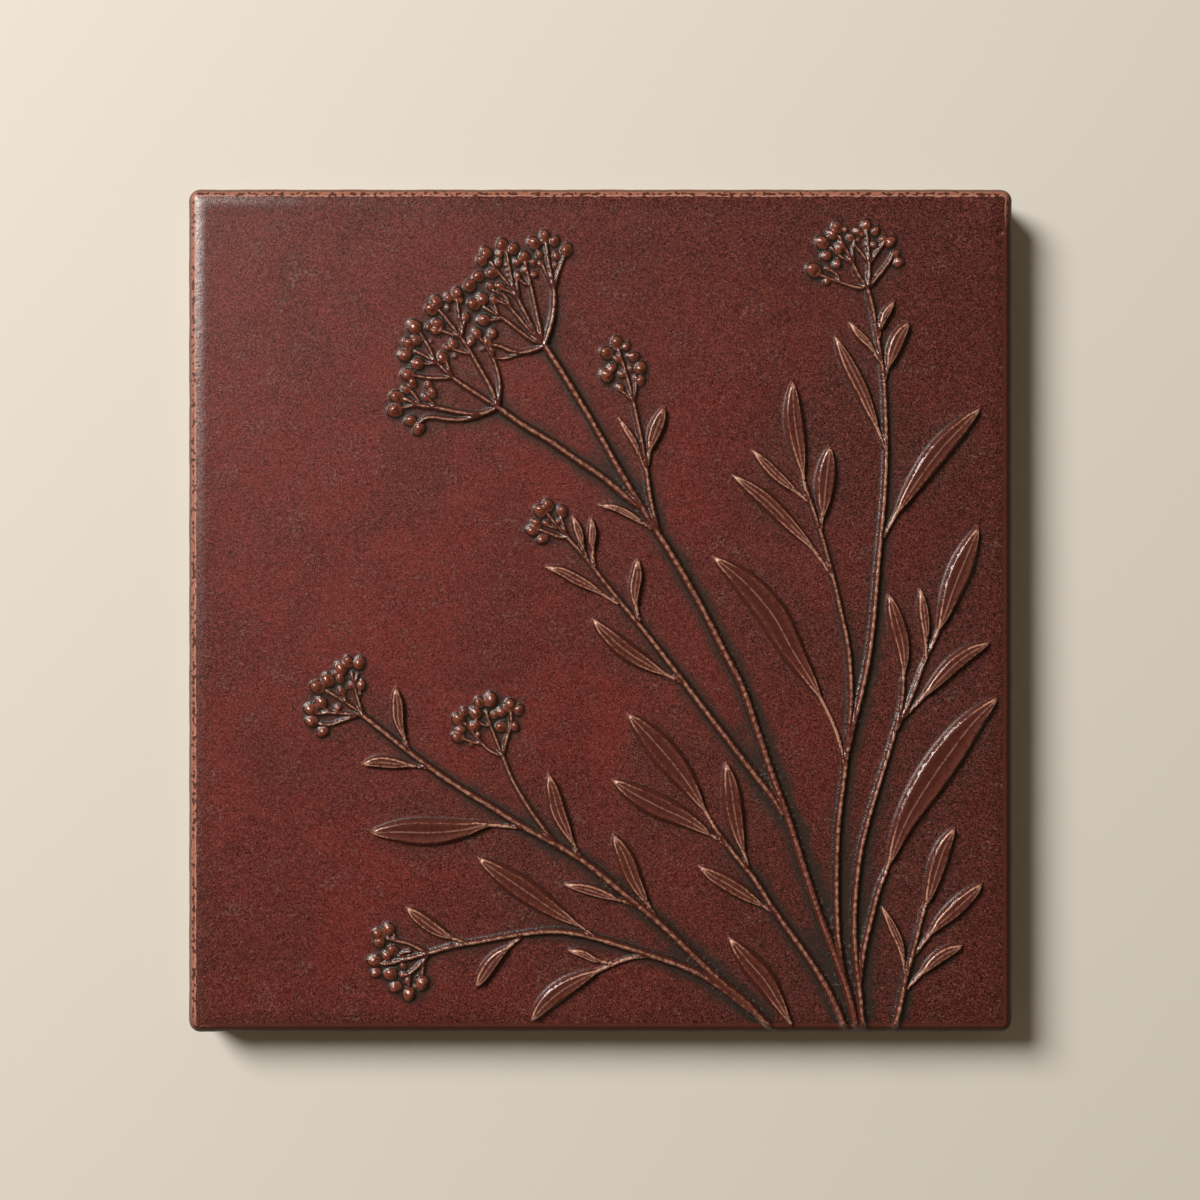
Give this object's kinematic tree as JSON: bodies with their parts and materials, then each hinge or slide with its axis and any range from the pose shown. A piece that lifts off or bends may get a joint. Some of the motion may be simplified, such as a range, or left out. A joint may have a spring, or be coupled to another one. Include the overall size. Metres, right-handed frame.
{
  "type": "ceramic wall tile",
  "caption": "Nearly square glazed ceramic wall tile with rounded rim and corners, and a raised relief of wildflower stems, leaves and round buds.",
  "frame": {"origin": "centre of the flat back, which lies on the floor", "axes": "+Z out of the glazed face, +Y to the top of the tile as hung, +X to its right seen from the front"},
  "size_m": [0.1514, 0.155, 0.0118],
  "materials": {
    "oxblood_glaze": "satin"
  },
  "bodies": {
    "root": {"relief_tile": "oxblood_glaze"}
  },
  "joints": []
}
